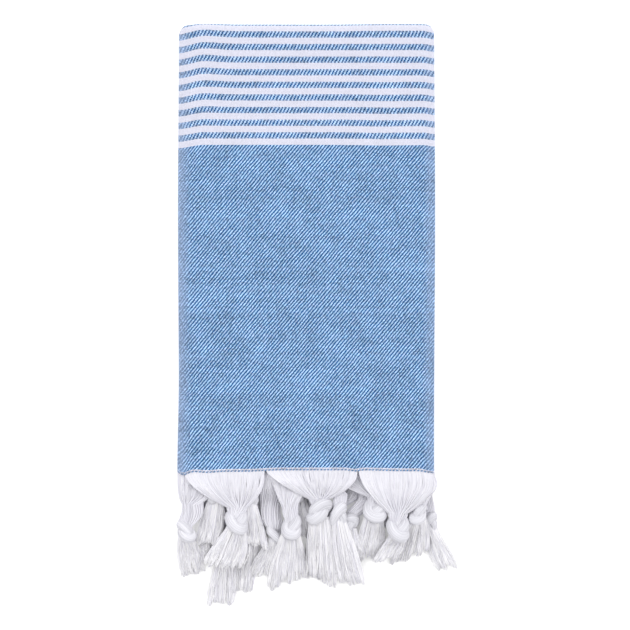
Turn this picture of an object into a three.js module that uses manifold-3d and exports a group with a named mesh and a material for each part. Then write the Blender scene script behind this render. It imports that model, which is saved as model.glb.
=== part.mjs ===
// A flat-woven bath towel with a knotted fringe, folded for the shelf and lying flat.
// Sizes are in millimetres. X runs across the towel, Y along it with the fringe at -Y, and Z is up.
// The origin is the middle of the folded cloth, on the surface that it lies on.
import * as THREE from "three";
import { mergeVertices } from "three/addons/utils/BufferGeometryUtils.js";
import Module from "manifold-3d";

const wasm = await Module();
wasm.setup();

// Driving dimensions of the folded cloth
const FOLDED_WIDTH = 250; // a quarter of the towel's 1000 mm
const FOLDED_LENGTH = 434; // a quarter of the towel's 1736 mm
const CLOTH = 1.1; // thickness of one layer
const LAYER_PITCH = 1.7; // from one layer to the next
const LAYERS_PER_DECK = 4; // made by the folds across the width; the stack has four decks
const CORNER_RADIUS = 8; // of the two corners at the top fold, seen from above
const OUTER_TURN_RADIUS = 4; // of the squarish turn at the top fold, at the strip's middle
const HIDDEN_TURN_BACK = 4; // how far the turn under the fringe stays behind the cloth's edge
const INNER_TURN_CLEARANCE = 0.6; // between the inner turn and the outer one around it
const DECK_WIDTHS = [0.984, 0.978, 0.99, 1]; // of each deck, lowest first, against the top one

// Driving dimensions of the fringe
const SEAT_GAP = 0.3; // between the cloth's edge and the yarns that leave it
const FAN_THICKNESS = 0.9; // of the yarns side by side where they leave the cloth
const ROPE_WIDTH = 13; // of the yarns once they have gathered
const TAIL_WIDTH = 12; // of the yarns where they leave their knot
const LOCK_SHARE = 0.8; // of a tail's width that its locks take up, side by side
const LOCK_HEIGHT = 2.4;
const LOCK_SPACING = 2.8; // from the lower row of locks to the upper one
const UNEVEN_CUT = 3; // by how much one lock may be shorter than another

const HALF_WIDTH = FOLDED_WIDTH / 2;
const HALF_LENGTH = FOLDED_LENGTH / 2;
const HALF_CLOTH = CLOTH / 2;
const DECK_PITCH = LAYERS_PER_DECK * LAYER_PITCH;
const DECK_HALF = ((LAYERS_PER_DECK - 1) / 2) * LAYER_PITCH + HALF_CLOTH;

// The three fans of a layer, from the left: where each one leaves the cloth's edge.
const THIRDS = [
  { side: "left", from: -119, to: -41 },
  { side: "middle", from: -39.5, to: 49.5 },
  { side: "right", from: 51, to: 122 },
];

// How high a knot lies: on the surface, on the knots below it, or on top of the heap. arch is how
// far the fan rises over what lies under it, funnel how quickly it narrows, and sink how far out,
// as a share of its length, it starts to go down to the height of its knot.
const HEIGHTS = {
  low: { bottom: 0.1, top: 13, rope: 8, arch: 0, funnel: 2.2, sink: 0.7, thicken: 8 },
  mid: { bottom: 13.4, top: 26.4, rope: 8, arch: 0, funnel: 1.9, sink: 0.6, thicken: 7 },
  top: { bottom: 13.6, top: 30, rope: 8.5, arch: 4.2, funnel: 1.1, sink: 0.4, thicken: 5 },
};

// Every tassel, top layer first. x is a place across the towel, and out one beyond the cloth's
// edge. gather is how far out the fan has become a rope. tailLow is the height of the underside
// of the tail halfway along it and at its end. lean is the way that the knot is wrapped, and
// across the number of locks side by side. Five or more show from above, and three are hidden.
const TASSEL_COLUMNS = [
  "third", "layer", "height", "gatherX", "gather", "knotX", "knotOut", "knotWidth", "knotLength",
  "tailX", "tailOut", "tailWidth", "tailLow", "lean", "across",
];
const TASSEL_ROWS = [
  [0, 0, "top", -68, 37, -68.5, 51, 23, 24, -83, 95, 30, [13.6, 13.6], 1, 6],
  [0, 1, "mid", -118, 16, -117, 60, 20, 21, -112, 106, 24, [7, 0.1], -1, 5],
  [0, 2, "mid", -97, 20, -99, 31, 18, 20, -95, 72, 20, [13.6, 13.6], 1, 5],
  [0, 3, "mid", -53, 16, -52, 28, 18, 19, -47, 79, 20, [13.6, 13.6], 1, 5],
  [0, 4, "low", -115, 12, -115, 25, 16, 18, -116, 60, 13, [0, 0], 1, 3],
  [0, 5, "low", -98, 14, -98, 51, 16, 19, -102, 82, 13, [0, 0], -1, 3],
  [0, 6, "low", -79, 13, -81, 85, 18, 20, -84, 132, 23, [0, 0], 1, 5],
  [0, 7, "low", -61, 12, -60, 74, 18, 20, -63, 119, 18, [0, 0], 1, 5],
  [1, 0, "top", 12, 29, 12.5, 41, 24, 24, 15, 118, 29, [13.6, 6.4], 1, 6],
  [1, 1, "mid", -16, 21, -15, 57, 20, 24, -21, 118, 32, [6.6, 0.1], 1, 5],
  [1, 2, "mid", 33, 17, 33, 42, 13, 24, 45, 112, 24, [13.6, 6.4], -1, 5],
  [1, 3, "low", -27, 15, -31, 58, 18, 22, -33, 90, 14, [0, 0], 1, 5],
  [1, 4, "low", -9, 12, -9, 25, 15, 18, -11, 64, 12, [0, 0], -1, 3],
  [1, 5, "low", -44, 13, -45, 25, 14, 18, -46, 60, 8, [0, 0], 1, 3],
  [1, 6, "low", 7, 13, 7, 70, 18, 20, 6, 108, 19, [0, 0], -1, 5],
  [1, 7, "low", 34, 13, 23, 46, 16, 19, 24, 80, 13, [0, 0], 1, 3],
  [2, 0, "top", 89, 43, 89, 58, 23, 25, 75, 91, 22, [13.6, 12.8], 1, 6],
  [2, 1, "mid", 112, 17, 109, 44, 18, 20, 101, 93, 28, [6.6, 0.1], 1, 5],
  [2, 2, "mid", 67, 17, 67, 40, 20, 24, 65, 91, 26, [6.6, 0.1], -1, 5],
  [2, 3, "mid", 89, 18, 88, 26.5, 17, 16, 87, 70, 12, [6.6, 6.6], 1, 3],
  [2, 4, "low", 62, 12, 43, 51, 17, 20, 41, 90, 13, [0, 0], 1, 5],
  [2, 5, "low", 117, 14, 119, 50, 16, 20, 135, 98, 18, [0, 0], -1, 5],
  [2, 6, "low", 80, 12, 80, 25, 15, 18, 78, 62, 12, [0, 0], 1, 3],
  [2, 7, "low", 99, 12, 99, 25, 15, 18, 99, 64, 12, [0, 0], 1, 3],
];

const { lerp, smoothstep, degToRad } = THREE.MathUtils;
const deckHeight = (deck) => DECK_HALF + deck * DECK_PITCH;
const layerOffset = (layer) => ((LAYERS_PER_DECK - 1) / 2 - layer) * LAYER_PITCH;

// Solids from rings of points

// Two axes in a ring's own plane, for cutting its flat end into triangles.
function ringAxes(ring) {
  const normal = new THREE.Vector3();
  ring.forEach((p, i) => normal.add(new THREE.Vector3().crossVectors(p, ring[(i + 1) % ring.length])));
  normal.normalize();
  const helper = Math.abs(normal.x) < 0.9 ? new THREE.Vector3(1, 0, 0) : new THREE.Vector3(0, 0, 1);
  const a = new THREE.Vector3().crossVectors(helper, normal).normalize();
  return [a, new THREE.Vector3().crossVectors(normal, a)];
}

function endTriangles(ring) {
  const [a, b] = ringAxes(ring);
  return THREE.ShapeUtils.triangulateShape(ring.map((p) => new THREE.Vector2(p.dot(a), p.dot(b))), []);
}

// Closes a list of rings, each with the same number of points, into one body.
function loft(rings) {
  const count = rings[0].length;
  const last = (rings.length - 1) * count;
  const index = [];
  for (let r = 0; r + 1 < rings.length; r++)
    for (let i = 0; i < count; i++) {
      const a = r * count + i;
      const b = r * count + ((i + 1) % count);
      index.push(a, b, b + count, a, b + count, a + count);
    }
  for (const [a, b, c] of endTriangles(rings[0])) index.push(a, c, b);
  for (const [a, b, c] of endTriangles(rings.at(-1))) index.push(last + a, last + b, last + c);
  return new THREE.BufferGeometry().setFromPoints(rings.flat()).setIndex(index);
}

function toSolid(geometry) {
  const merged = mergeVertices(geometry);
  return new wasm.Manifold(
    new wasm.Mesh({
      numProp: 3,
      vertProperties: new Float32Array(merged.attributes.position.array),
      triVerts: new Uint32Array(merged.index.array),
    }),
  );
}

function toGeometry(solid) {
  const mesh = solid.getMesh();
  return new THREE.BufferGeometry()
    .setAttribute("position", new THREE.BufferAttribute(new Float32Array(mesh.vertProperties), 3))
    .setIndex(new THREE.BufferAttribute(new Uint32Array(mesh.triVerts), 1));
}

// The cloth

// Points on an arc, from one angle to another in degrees, both ends among them.
function arc(x, y, radius, from, to, steps) {
  return Array.from({ length: steps + 1 }, (_, i) => {
    const angle = degToRad(lerp(from, to, i / steps));
    return [x + radius * Math.cos(angle), y + radius * Math.sin(angle)];
  });
}

// The middle line of the cloth across a deck: back layer, round fold, front layer, tight fold and
// the two inner layers, from one selvedge to the other.
function acrossLine() {
  const stations = [-116, 0, 116];
  const roundRadius = 1.5 * LAYER_PITCH;
  const tightRadius = 0.5 * LAYER_PITCH;
  const leftFold = -HALF_WIDTH + HALF_CLOTH + roundRadius;
  const rightFold = HALF_WIDTH - HALF_CLOTH - tightRadius;
  const firstSelvedge = HALF_WIDTH - 3;
  const lastSelvedge = HALF_WIDTH - 4.5;
  const toRight = (layer) => stations.map((x) => [x, layerOffset(layer)]);
  const toLeft = (layer) => toRight(layer).reverse();
  return [
    [firstSelvedge, layerOffset(3)],
    ...toLeft(3),
    ...arc(leftFold, 0, roundRadius, 270, 90, 4),
    ...toRight(0),
    ...arc(rightFold, LAYER_PITCH, tightRadius, 90, -90, 3),
    ...toLeft(1),
    ...arc(leftFold, 0, tightRadius, 90, 270, 3),
    ...toRight(2),
    [lastSelvedge, layerOffset(2)],
  ];
}

// The outline of the cloth's section: its middle line, moved out by half the thickness on each side.
function ribbonOutline(line) {
  const side = (sign) =>
    line.map(([x, y], i) => {
      const [ax, ay] = line[Math.max(i - 1, 0)];
      const [bx, by] = line[Math.min(i + 1, line.length - 1)];
      const reach = (sign * HALF_CLOTH) / Math.hypot(bx - ax, by - ay);
      return [x - reach * (by - ay), y + reach * (bx - ax)];
    });
  return [...side(1), ...side(-1).reverse()];
}

// The middle of the four-layer strip along its length: top deck, squarish outer turn, bottom deck,
// hidden turn under the fringe, second deck, inner turn, third deck. Each row has the place, the
// direction in which the strip's front layer lies, and how wide the strip is there.
function alongRows() {
  const stations = [-130, 0, 130];
  const outerY = HALF_LENGTH - DECK_HALF - OUTER_TURN_RADIUS;
  const innerRadius = DECK_PITCH / 2;
  const innerY = HALF_LENGTH - 3 * DECK_HALF - innerRadius - INNER_TURN_CLEARANCE;
  const hiddenY = -HALF_LENGTH + HIDDEN_TURN_BACK + DECK_HALF + innerRadius;
  const row = (y, z, ny, nz, width) => ({ y, z, ny, nz, width });

  // A flat deck from one end to the other, by way of the stations that lie between.
  const run = (deck, facing, from, to) => {
    const between = stations.filter((y) => y > Math.min(from, to) && y < Math.max(from, to));
    if (from > to) between.reverse();
    return [from, ...between, to].map((y) => row(y, deckHeight(deck), 0, facing, DECK_WIDTHS[deck]));
  };

  // A turn from one deck to another, without the rows at its two ends.
  const turn = (y, z, radius, from, to, steps, facing, widths) =>
    arc(0, 0, radius, from, to, steps)
      .map(([cy, cz], i) => {
        const toFront = facing / radius;
        return row(y + cy, z + cz, toFront * cy, toFront * cz, lerp(...widths, i / steps));
      })
      .slice(1, -1);

  const upright = (DECK_WIDTHS[3] + DECK_WIDTHS[0]) / 2;
  const upperTurnZ = deckHeight(3) - OUTER_TURN_RADIUS;
  const lowerTurnZ = deckHeight(0) + OUTER_TURN_RADIUS;
  return [
    ...run(3, 1, -HALF_LENGTH, outerY),
    ...turn(outerY, upperTurnZ, OUTER_TURN_RADIUS, 90, 0, 3, 1, [DECK_WIDTHS[3], upright]),
    row(outerY + OUTER_TURN_RADIUS, upperTurnZ, 1, 0, upright),
    row(outerY + OUTER_TURN_RADIUS, lowerTurnZ, 1, 0, upright),
    ...turn(outerY, lowerTurnZ, OUTER_TURN_RADIUS, 0, -90, 3, 1, [upright, DECK_WIDTHS[0]]),
    ...run(0, -1, outerY, hiddenY),
    ...turn(hiddenY, deckHeight(0.5), innerRadius, 270, 90, 5, 1, [DECK_WIDTHS[0], DECK_WIDTHS[1]]),
    ...run(1, 1, hiddenY, innerY),
    ...turn(innerY, deckHeight(1.5), innerRadius, -90, 90, 5, -1, [DECK_WIDTHS[1], DECK_WIDTHS[2]]),
    ...run(2, -1, innerY, -HALF_LENGTH),
  ];
}

// How the stack lies: a low crown and gentle waves that die out towards the surface under it, sides
// that aren't quite straight, and rounded corners at the top fold.
function settle(x, y, z) {
  const crown = 0.07 * (1 - (x / HALF_WIDTH) ** 4) * (1 - (y / HALF_LENGTH) ** 4);
  const waves = 0.012 * Math.sin(x / 31 + 0.8) * Math.cos(y / 47 - 0.4);
  const side = 1 + 0.004 * Math.sin(y / 68 + 1.1);
  const overX = Math.max(0, Math.abs(x) - (HALF_WIDTH - CORNER_RADIUS)) / CORNER_RADIUS;
  const overY = Math.max(0, y - (HALF_LENGTH - CORNER_RADIUS)) / CORNER_RADIUS;
  const inX = overX * CORNER_RADIUS * (1 - Math.sqrt(1 - Math.min(1, overY) ** 2 / 2));
  const inY = overY * CORNER_RADIUS * (1 - Math.sqrt(1 - Math.min(1, overX) ** 2 / 2));
  return new THREE.Vector3((x - Math.sign(x) * inX) * side, y - inY, z * (0.96 + crown + waves));
}

function towelGeometry() {
  const section = ribbonOutline(acrossLine());
  const rings = alongRows().map(({ y, z, ny, nz, width }) =>
    section.map(([x, n]) => settle(x * width, y + n * ny, z + n * nz)),
  );
  return loft(rings);
}

// The fringe

// The height of a layer at the cloth's edge. The deck under the top one lies face down.
function edgeHeight(layer, x) {
  const upsideDown = layer >= LAYERS_PER_DECK;
  const middle = upsideDown
    ? deckHeight(2) - layerOffset(2 * LAYERS_PER_DECK - 1 - layer)
    : deckHeight(3) + layerOffset(layer);
  return settle(x, -HALF_LENGTH, middle).z;
}

// One ring of a tassel, in an upright plane. Its strands show as flutes, and the wrap of a knot as
// a ridge that slants around it.
function tasselRing(ring, count) {
  const squared = (value) => Math.sign(value) * Math.abs(value) ** ring.squareness;
  return Array.from({ length: count }, (_, i) => {
    const angle = (2 * Math.PI * (i + 0.5)) / count;
    const swell = 1 + ring.ridge * Math.cos(ring.turn + 1.9 * Math.cos(angle));
    const flute = i % 2 ? ring.flute : -ring.flute;
    return new THREE.Vector3(
      ring.x + ring.halfWidth * squared(Math.cos(angle)) * swell,
      -HALF_LENGTH - ring.out,
      ring.z + ring.halfHeight * squared(Math.sin(angle)) * (swell + flute),
    );
  });
}

// The yarns from the cloth's edge to where they have gathered into a rope.
function fanRings(t, level, knotZ) {
  const third = THIRDS[t.third];
  const middle = (third.from + third.to) / 2;
  const edge = edgeHeight(t.layer, middle);
  return [0, 0.3, 0.6, 0.82, 1].map((s) => {
    const gathered = 1 - (1 - s) ** level.funnel;
    const sunk = smoothstep(s, level.sink, level.sink + 0.9);
    return {
      out: lerp(SEAT_GAP, t.gather, s),
      x: lerp(middle, t.gatherX, gathered),
      z: lerp(edge, knotZ, sunk) + level.arch * Math.sin(Math.PI * s),
      halfWidth: lerp((third.to - third.from) / 2, ROPE_WIDTH / 2, gathered),
      halfHeight: lerp(FAN_THICKNESS, level.rope, s ** level.thicken) / 2,
      squareness: lerp(0.45, 0.85, s),
      flute: lerp(0.1, 0.16, s),
      ridge: 0,
      turn: 0,
    };
  });
}

// The rope between the fan and the knot, where there is one.
function ropeRings(t, level, knotZ) {
  const neck = t.knotOut - t.knotLength / 2;
  const length = neck - t.gather;
  const shares = length < 4 ? [] : length < 14 ? [1] : [0.5, 1];
  return shares.map((s) => ({
    out: lerp(t.gather, neck, s),
    x: lerp(t.gatherX, t.knotX, smoothstep(s, 0, 0.9)),
    z: knotZ,
    halfWidth: ROPE_WIDTH / 2,
    halfHeight: level.rope / 2,
    squareness: 0.85,
    flute: 0.16,
    ridge: 0,
    turn: 0,
  }));
}

function knotRings(t, level, knotZ, shows) {
  return (shows ? [-0.82, -0.45, 0, 0.45, 0.82, 1] : [-0.7, 0, 0.7, 1]).map((s) => {
    const ball = Math.sqrt(1 - s * s);
    return {
      out: t.knotOut + (s * t.knotLength) / 2,
      x: t.knotX,
      z: knotZ,
      halfWidth: lerp((s < 0 ? ROPE_WIDTH : TAIL_WIDTH) / 2, t.knotWidth / 2.2, ball),
      halfHeight: lerp(s < 0 ? level.rope / 2 : LOCK_SPACING, (level.top - level.bottom) / 2.2, ball),
      squareness: 0.9,
      flute: 0,
      ridge: s === 1 ? 0 : 0.1,
      turn: t.lean * 2.6 * s,
    };
  });
}

function tasselHead(t) {
  const level = HEIGHTS[t.height];
  const knotZ = (level.bottom + level.top) / 2;
  const shows = t.across >= 5;
  const rings = [
    ...fanRings(t, level, knotZ),
    ...ropeRings(t, level, knotZ),
    ...knotRings(t, level, knotZ, shows),
  ];
  return loft(rings.map((ring) => tasselRing(ring, shows ? 14 : 10)));
}

// The cut ends below the knot: locks in two rows, fused to each other only inside the knot.
function tasselLocks(t) {
  const level = HEIGHTS[t.height];
  const knotZ = (level.bottom + level.top) / 2;
  const exit = t.knotOut + t.knotLength / 2;
  const stations = [
    { out: exit - 3.5, x: t.knotX, low: knotZ - 2.6, width: TAIL_WIDTH * 0.75, size: 0.8, cut: 0 },
    {
      out: lerp(exit, t.tailOut, 0.42),
      x: lerp(t.knotX, t.tailX, 0.36),
      low: t.tailLow[0],
      width: lerp(TAIL_WIDTH, t.tailWidth, 0.5),
      size: 1,
      cut: 0,
    },
    { out: t.tailOut, x: t.tailX, low: t.tailLow[1], width: t.tailWidth, size: 0.9, cut: 1 },
  ];
  const locks = [];
  for (let row = 0; row < 2; row++)
    for (let i = 0; i < t.across; i++) {
      const shorter = UNEVEN_CUT * Math.abs(Math.sin(2.3 * i + 1.7 * row + t.knotX));
      const rings = stations.map(({ out, x, low, width, size, cut }) => {
        const pitch = width / t.across;
        const middle = x + (i - (t.across - 1) / 2) * pitch;
        const half = (LOCK_SHARE * size * pitch) / 2;
        const bottom = low + row * LOCK_SPACING;
        const top = bottom + LOCK_HEIGHT * size;
        const y = -HALF_LENGTH - out + cut * shorter;
        return [
          new THREE.Vector3(middle - half, y, bottom),
          new THREE.Vector3(middle + half, y, bottom),
          new THREE.Vector3(middle + half, y, top),
          new THREE.Vector3(middle - half, y, top),
        ];
      });
      locks.push(loft(rings));
    }
  return locks;
}

function tasselGeometry(t) {
  return toGeometry(wasm.Manifold.union([tasselHead(t), ...tasselLocks(t)].map(toSolid)));
}

// The finished part

const clothFinish = new THREE.MeshStandardMaterial({ color: 0x7ea2cc, roughness: 0.92, metalness: 0 });
const fringeFinish = new THREE.MeshStandardMaterial({ color: 0xeeedf4, roughness: 0.95, metalness: 0 });
const towel = new THREE.Group();

function addPiece(name, geometry, material) {
  const mesh = new THREE.Mesh(geometry, material.clone());
  mesh.name = name;
  towel.add(mesh);
}

addPiece("towel", towelGeometry(), clothFinish);
for (const values of TASSEL_ROWS) {
  const t = Object.fromEntries(values.map((value, i) => [TASSEL_COLUMNS[i], value]));
  const end = t.layer < LAYERS_PER_DECK ? "a" : "b";
  const name = `tassel_${end}${(t.layer % LAYERS_PER_DECK) + 1}_${THIRDS[t.third].side}`;
  addPiece(name, tasselGeometry(t), fringeFinish);
}

export default towel;
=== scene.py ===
"""The folded bath towel: a thin twill sheet on its folds, and a fringe of knotted yarn tassels."""
import math

import bpy
import numpy as np
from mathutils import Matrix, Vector


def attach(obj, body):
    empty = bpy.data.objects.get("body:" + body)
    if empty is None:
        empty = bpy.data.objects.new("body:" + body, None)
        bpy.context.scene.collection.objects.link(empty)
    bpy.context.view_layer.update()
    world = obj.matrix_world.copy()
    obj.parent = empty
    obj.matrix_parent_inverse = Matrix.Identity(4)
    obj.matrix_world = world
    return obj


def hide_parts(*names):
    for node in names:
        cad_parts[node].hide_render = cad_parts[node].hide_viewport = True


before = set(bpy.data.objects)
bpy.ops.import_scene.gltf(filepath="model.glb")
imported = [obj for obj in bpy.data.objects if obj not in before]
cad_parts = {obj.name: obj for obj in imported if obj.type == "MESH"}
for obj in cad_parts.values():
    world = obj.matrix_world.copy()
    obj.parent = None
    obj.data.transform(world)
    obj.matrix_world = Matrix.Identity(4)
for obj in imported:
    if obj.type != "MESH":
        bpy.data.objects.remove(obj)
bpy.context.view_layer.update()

# Sizes are in millimetres, in the frame's axes, and become metres where a mesh is made.
MM = 0.001
rng = np.random.default_rng(11)

# Driving dimensions of the folded cloth
WIDTH = 250.0
LENGTH = 434.0
CLOTH = 1.1
LAYER_PITCH = 1.7
LAYERS = 4
MIDDLE_LAYER = (LAYERS - 1) / 2
DECK_PITCH = LAYERS * LAYER_PITCH
DECK_HALF = MIDDLE_LAYER * LAYER_PITCH + CLOTH / 2
CORNER_RADIUS = 8.0
OUTER_TURN_RADIUS = 4.0
HIDDEN_TURN_BACK = 4.0
INNER_TURN_CLEARANCE = 0.6
DECK_WIDTHS = (0.984, 0.978, 0.99, 1.0)  # lowest first, against the top one
SETTLED = 0.96  # the height of the stack's edges, against its sum of layers
CROWN = 0.07
WAVES = 0.012
SIDE_WAVES = 0.004
FLAT_WIDTH = 1000.0
FLAT_LENGTH = 1736.0

# Hollows of the top cloth, listed one by one. A ramp has its side, where it starts and stops in x, and
# its
# depth. A hump has its place in x, its half width and its depth.
TOP_HEIGHT = 26.0
EDGE_DIP = 1.15
EDGE_RAMPS = ((-1, 25, 60, 1.5), (1, 55, 95, 0.9), (1, 108, 125, 3.0))
EDGE_HUMPS = ((-118, 5.5, 3.7), (-96, 10, 1.2), (47, 5, 1.4))
STRIPE_RAMPS = ((-1, 100, 124, 2.9), (1, 112, 124, 1.2))
CREASE = (49, 1.6, 0.7)
SHOULDER = 9.0
SHOULDER_DROP = 0.11
LEFT_SWELL = 1.6

# The weave, counted from the cloth's own corner
WARP_PITCH = 0.85
WEFT_PITCH = 1.017
TWILL_REPEAT = 4
STRIPE_PICKS = 4
STRIPE_WIDTH = 6.145
STRIPES = 10
STRIPE_TOP = 432.3  # where the last stripe ends, from the fringe

# The fringe. A yarn's size is its radius.
EDGE = -LENGTH / 2
FAN_YARNS = 104
HIDDEN_FAN_YARNS = 44
THIRD_FAN_BULGE = 4.5  # how far its right side swells beyond the cloth
FAN_YARN = 0.58
TAIL_YARN = 0.4
STRAY_YARN = 0.16
FAN_HAIRS = 26
TAIL_HAIRS = 60
LOCK_WIDTH = 2.6  # of one lock of cut yarns, side by side in a tail
LOCK_YARNS = 23
LOCK_SHORT = 6.5  # by how much one lock may be shorter than another
LOCK_DRIFT = 1.3  # how far a lock's end strays to a side
LOCK_CURL = 0.75
YARN_SHORT = 1.9
TAIL_WAVER = 0.45
TAIL_BEND = 0.42  # where along a tail its middle height is reached
FAN_WAVER = 0.28
HIDDEN_LOCK_YARNS = 9
KNOT_FAT = 0.92  # the cord's radius in a pulled-tight knot, in thicknesses of the line
KNOT_FLUTES = 32
HIDDEN_KNOT_FLUTES = 12

# Where the three fans of a layer start and stop along the cloth's edge, layers counted from the top
SIDES = ("left", "middle", "right")
FAN_SPANS = {
    0: ((-117.0, -41.0), (-39.5, 49.5), (51.0, 124.0)),
    2: ((-124.5, -41.0), (-39.5, 20.0), (22.0, 110.0)),
    3: ((-124.5, -46.0), (-43.0, -8.0), (50.0, 125.5)),
}
OTHER_FAN_SPANS = ((-124.5, -41.0), (-39.5, 49.5), (50.0, 125.5))

# How high a tassel lies: its knot's bottom and top, its rope's height, how far its fan arches up,
# where along the fan it starts to sink, and how late the fan thickens
HEIGHTS = {
    "low": dict(bottom=0.1, top=13.0, rope=8.0, arch=0.0, sink=0.25, thicken=5.0),
    "raised": dict(bottom=4.1, top=17.0, rope=8.0, arch=0.0, sink=0.25, thicken=5.0),
    "slope": dict(bottom=4.1, top=17.0, rope=8.0, arch=4.0, sink=0.15, thicken=5.0),
    "mid": dict(bottom=13.4, top=26.4, rope=8.0, arch=0.0, sink=0.6, thicken=6.0),
    "top": dict(bottom=13.6, top=30.0, rope=9.0, arch=4.2, sink=0.4, thicken=5.0),
}

# How high a tail lies, at its bend and at its end
ON_DECK = (13.6, 13.6)
OFF_DECK = (13.6, 6.4)
TO_FLOOR = (6.6, 0.3)
ON_FLOOR = (0.3, 0.3)

TASSEL_COLUMNS = (
    "third", "layer", "height", "gather_x", "gather", "rope", "bow",
    "knot_x", "knot_out", "knot_width", "knot_length", "roll", "lean",
    "tail_x", "tail_out", "tail_width", "slant", "tail_low",
)
# bow: how late the left and the right yarns of a fan gather. roll: the knot's turn about its cord, in
# degrees. lean: -1 for a mirrored knot. slant: how much shorter the right ends are. tail_low: see above.
TASSEL_ROWS = (
    (0, 0, "top", -68, 37, 20, (1.5, 2.6), -68.5, 51, 23, 24, 335, 1, -84, 99, 37, 0, ON_DECK),
    (0, 1, "mid", -111, 35, 20, (3.8, 0.3), -117.5, 61, 20, 21, 70, -1, -111, 109, 25, 6, (7, 0.3)),
    (0, 2, "mid", -88, 15, 13, (0.6, 0.6), -88, 24, 18, 20, 130, 1, -98, 76, 22, 0, ON_DECK),
    (0, 3, "mid", -57, 18, 13, (0.9, 1.4), -56, 28, 18, 21, 200, 1, -49.5, 80, 22, -6, ON_DECK),
    (0, 4, "low", -115, 12, 13, (0.5, 0.5), -115, 25, 16, 18, 260, 1, -116, 60, 13, 0, ON_FLOOR),
    (0, 5, "low", -98, 14, 13, (0.5, 0.5), -98, 51, 16, 19, 310, -1, -94, 95, 17, 0, (7, 7)),
    (0, 6, "low", -79, 13, 13, (0.5, 0.5), -81, 85, 18, 20, 0, 1, -84.5, 138, 26, 0, ON_FLOOR),
    (0, 7, "low", -61, 12, 11, (0.5, 0.5), -61, 74, 18, 20, 50, 1, -64, 125, 21, 0, ON_FLOOR),
    (1, 0, "top", 12, 29, 20, (1.25, 2.2), 12.5, 41.5, 26, 24, 100, 1, 15, 119, 27, -16, OFF_DECK),
    (1, 1, "mid", -16, 38, 15, (1.0, 0.45), -15, 57, 20, 24, 20, 1, -20, 123, 38, 17, TO_FLOOR),
    (1, 2, "mid", 33, 25, 13, (0.8, 1.2), 31, 45, 17.5, 25, 220, -1, 44.5, 117, 27, 0, OFF_DECK),
    (1, 3, "slope", -36, 34, 20, (1.0, 0.8), -31.5, 65, 17, 17, 280, 1, -46, 110, 22, 0, (5, 0.3)),
    (1, 4, "raised", -9, 12, 15, (0.5, 0.5), -7, 25, 15, 18, 330, -1, 1, 68, 17, 0, (11, 9)),
    (1, 5, "low", -49, 13, 11, (0.5, 0.5), -50, 25, 12, 18, 30, 1, -46, 99, 16, 0, ON_FLOOR),
    (1, 6, "low", 7, 13, 13, (0.5, 0.5), 7, 70, 18, 20, 100, -1, 6, 112, 20, 0, ON_FLOOR),
    (1, 7, "low", 45, 22, 17, (0.8, 1.2), 26, 46, 16, 19, 170, 1, 24, 80, 13.5, 0, ON_FLOOR),
    (2, 0, "top", 89, 43, 19, (1.6, 2.6), 89, 58, 23, 25, 345, 1, 74, 93, 22, 4, (13.6, 12.8)),
    (2, 1, "mid", 111, 32, 14, (0.6, 3.0), 109, 44, 18, 20, 60, 1, 99, 97, 32, 14, TO_FLOOR),
    (2, 2, "mid", 67, 27, 15, (1.9, 0.7), 66.5, 40, 24, 24, 5, 1, 62, 94, 27, 0, (10, 4)),
    (2, 3, "mid", 89, 18, 13, (0.6, 0.6), 88, 26.5, 17, 16, 60, 1, 87, 70, 12, 0, (6.6, 6.6)),
    (2, 4, "raised", 61, 20, 19, (1.0, 0.8), 42.5, 55, 20, 20, 140, 1, 47, 92, 22, 0, (10, 4)),
    (2, 5, "low", 117, 14, 13, (0.5, 0.5), 121, 54, 16, 20, 210, -1, 139, 103, 20, 0, ON_FLOOR),
    (2, 6, "low", 80, 12, 13, (0.5, 0.5), 80, 25, 15, 18, 270, 1, 78, 62, 12, 0, ON_FLOOR),
    (2, 7, "low", 99, 12, 13, (0.5, 0.5), 99, 25, 15, 18, 320, 1, 99, 64, 12, 0, ON_FLOOR),
)


def lerp(a, b, t):
    return a + (b - a) * t


def smoothstep(t, low, high):
    t = np.clip((t - low) / (high - low), 0, 1)
    return t * t * (3 - 2 * t)


def deck_height(deck):
    return DECK_HALF + deck * DECK_PITCH


def layer_offset(layer):
    return (MIDDLE_LAYER - layer) * LAYER_PITCH


def settle(x, y, z):
    """How the stack lies, as in the solids: a low crown, gentle waves and rounded corners."""
    crown = CROWN * (1 - (x / (WIDTH / 2)) ** 4) * (1 - (y / (LENGTH / 2)) ** 4)
    waves = WAVES * np.sin(x / 31 + 0.8) * np.cos(y / 47 - 0.4)
    side = 1 + SIDE_WAVES * np.sin(y / 68 + 1.1)
    over_x = np.maximum(0, np.abs(x) - (WIDTH / 2 - CORNER_RADIUS)) / CORNER_RADIUS
    over_y = np.maximum(0, y - (LENGTH / 2 - CORNER_RADIUS)) / CORNER_RADIUS
    in_x = over_x * CORNER_RADIUS * (1 - np.sqrt(1 - np.minimum(1, over_y) ** 2 / 2))
    in_y = over_y * CORNER_RADIUS * (1 - np.sqrt(1 - np.minimum(1, over_x) ** 2 / 2))
    return (x - np.sign(x) * in_x) * side, y - in_y, z * (SETTLED + crown + waves)


def make_object(name, points, faces, uvs):
    """A mesh object from points in millimetres and faces of three or four corners each."""
    mesh = bpy.data.meshes.new(name)
    mesh.from_pydata((np.asarray(points) * MM).tolist(), [], [list(map(int, f)) for f in faces])
    layer = mesh.uv_layers.new(name="UVMap")
    loops = np.empty(len(mesh.loops), dtype=np.int32)
    mesh.loops.foreach_get("vertex_index", loops)
    layer.data.foreach_set("uv", np.asarray(uvs)[loops].ravel())
    mesh.polygons.foreach_set("use_smooth", [True] * len(mesh.polygons))
    mesh.update()
    obj = bpy.data.objects.new(name, mesh)
    bpy.context.scene.collection.objects.link(obj)
    return obj


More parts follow.
